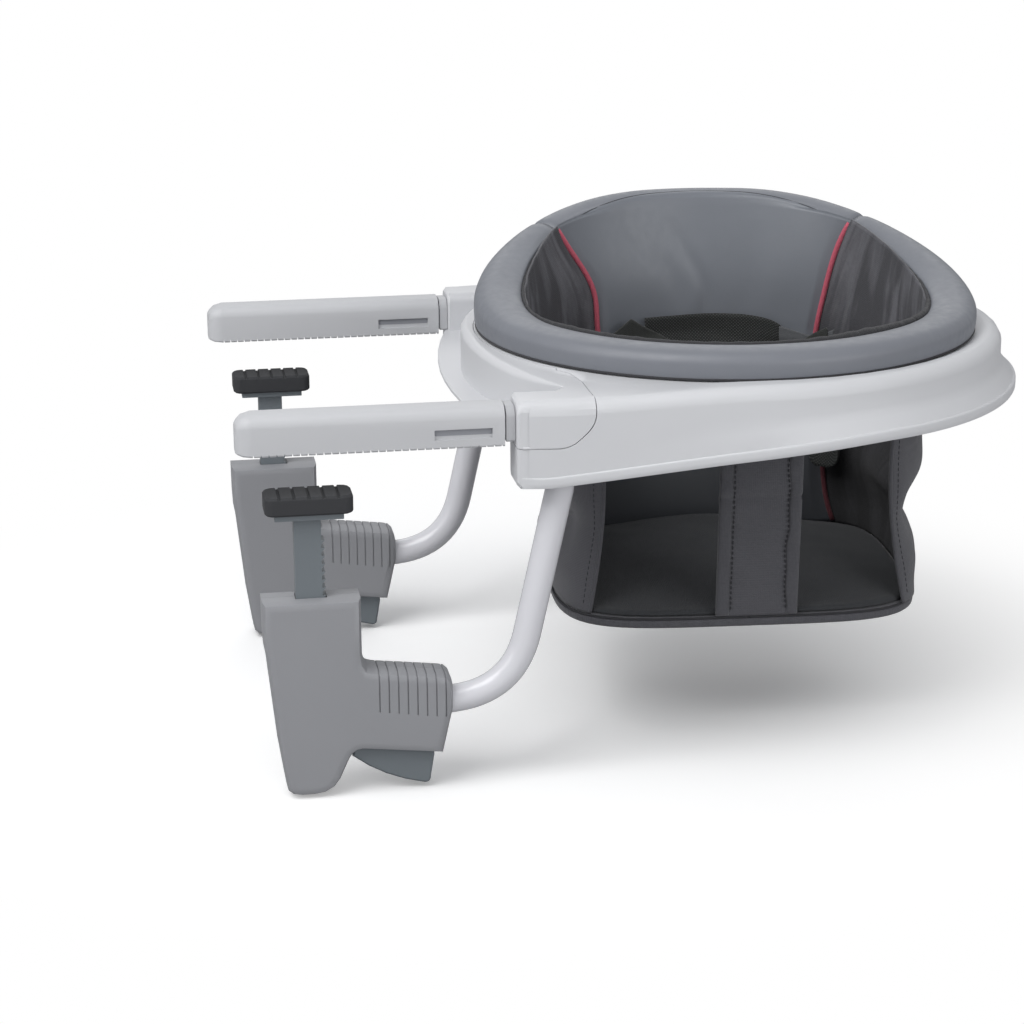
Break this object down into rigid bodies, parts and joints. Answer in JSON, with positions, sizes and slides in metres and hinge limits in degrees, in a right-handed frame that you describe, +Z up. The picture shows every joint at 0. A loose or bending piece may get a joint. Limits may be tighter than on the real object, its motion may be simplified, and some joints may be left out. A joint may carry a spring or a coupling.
{
  "type": "hook on table chair",
  "caption": "Hook-on table chair: ring base with two toothed arms, folding screwless clamps and a swivelling padded fabric seat.",
  "frame": {"origin": "on the table edge the chair is clamped to: top corner of the edge, midway between the two arms", "axes": "+X away from the table, +Z up, +Y to the left when looking along +X; the seat is stored turned sideways, its front towards -Y"},
  "size_m": [0.628, 0.4578, 0.375],
  "materials": {
    "base_plastic": "satin",
    "under_plastic": "satin",
    "bare_steel": "plain",
    "boot_rubber": "matte",
    "painted_tube": "gloss",
    "clamp_plastic": "matte",
    "lever_plastic": "matte",
    "foot_rubber": "matte",
    "ring_plastic": "matte",
    "rim_vinyl": "leatherette, satin",
    "back_vinyl": "leatherette, satin",
    "seat_cloth": "woven nylon",
    "piping": "covered cord",
    "webbing": "ribbed webbing"
  },
  "bodies": {
    "frame": {"front_cover": "base_plastic", "base_shell": "base_plastic", "base_lower_cover": "under_plastic", "arm_beam_near": "bare_steel", "arm_boot_near": "boot_rubber", "arm_collar_near": "base_plastic", "fold_bracket_near": "bare_steel", "fold_pin_near": "bare_steel", "arm_beam_far": "bare_steel", "arm_boot_far": "boot_rubber", "arm_collar_far": "base_plastic", "fold_bracket_far": "bare_steel", "fold_pin_far": "bare_steel"},
    "clamp_near": {"clamp_tube_near": "painted_tube", "clamp_shell_outer_near": "clamp_plastic", "clamp_shell_inner_near": "clamp_plastic", "lever_pin_near": "bare_steel"},
    "rod_near": {"clamp_rod_near": "lever_plastic", "clamp_foot_near": "foot_rubber"},
    "lever_near": {"clamp_lever_near": "lever_plastic"},
    "clamp_far": {"clamp_tube_far": "painted_tube", "clamp_shell_outer_far": "clamp_plastic", "clamp_shell_inner_far": "clamp_plastic", "lever_pin_far": "bare_steel"},
    "rod_far": {"clamp_rod_far": "lever_plastic", "clamp_foot_far": "foot_rubber"},
    "lever_far": {"clamp_lever_far": "lever_plastic"},
    "seat": {"swivel_ring": "ring_plastic", "swivel_retainer": "ring_plastic", "back_hoop": "bare_steel", "rim_pad_front": "rim_vinyl", "rim_pad_back": "rim_vinyl", "backrest_pad": "back_vinyl", "side_panel_left": "seat_cloth", "side_panel_right": "seat_cloth", "crotch_panel": "seat_cloth", "piping_left": "piping", "piping_right": "piping", "seat_board": "seat_cloth", "seat_cushion": "seat_cloth", "waist_belt": "webbing", "belt_flap_left": "seat_cloth", "belt_flap_right": "seat_cloth"}
  },
  "joints": [
    {"name": "clamp_fold_near", "type": "hinge", "parent": "frame", "child": "clamp_near", "pos_m": [0.0345, -0.184, -0.02], "axis": [1, 0, 0], "range_deg": [0, 88]},
    {"name": "clamp_slide_near", "type": "slide", "parent": "clamp_near", "child": "rod_near", "axis": [0, 0, 1], "range_m": [-0.0594, 0.0106]},
    {"name": "lever_squeeze_near", "type": "hinge", "parent": "clamp_near", "child": "lever_near", "pos_m": [-0.119, -0.184, -0.221], "axis": [0, -1, 0], "range_deg": [0, 14], "stiffness_Nm_per_rad": 0.8, "springref_deg": -5.73},
    {"name": "clamp_fold_far", "type": "hinge", "parent": "frame", "child": "clamp_far", "pos_m": [0.0345, 0.184, -0.02], "axis": [1, 0, 0], "range_deg": [-68, 0]},
    {"name": "clamp_slide_far", "type": "slide", "parent": "clamp_far", "child": "rod_far", "axis": [0, 0, 1], "range_m": [-0.0594, 0.0106]},
    {"name": "lever_squeeze_far", "type": "hinge", "parent": "clamp_far", "child": "lever_far", "pos_m": [-0.119, 0.184, -0.221], "axis": [0, -1, 0], "range_deg": [0, 14], "stiffness_Nm_per_rad": 0.8, "springref_deg": -5.73},
    {"name": "seat_swivel", "type": "hinge", "parent": "frame", "child": "seat", "pos_m": [0.198, 0, 0], "axis": [0, 0, 1], "continuous": true}
  ]
}
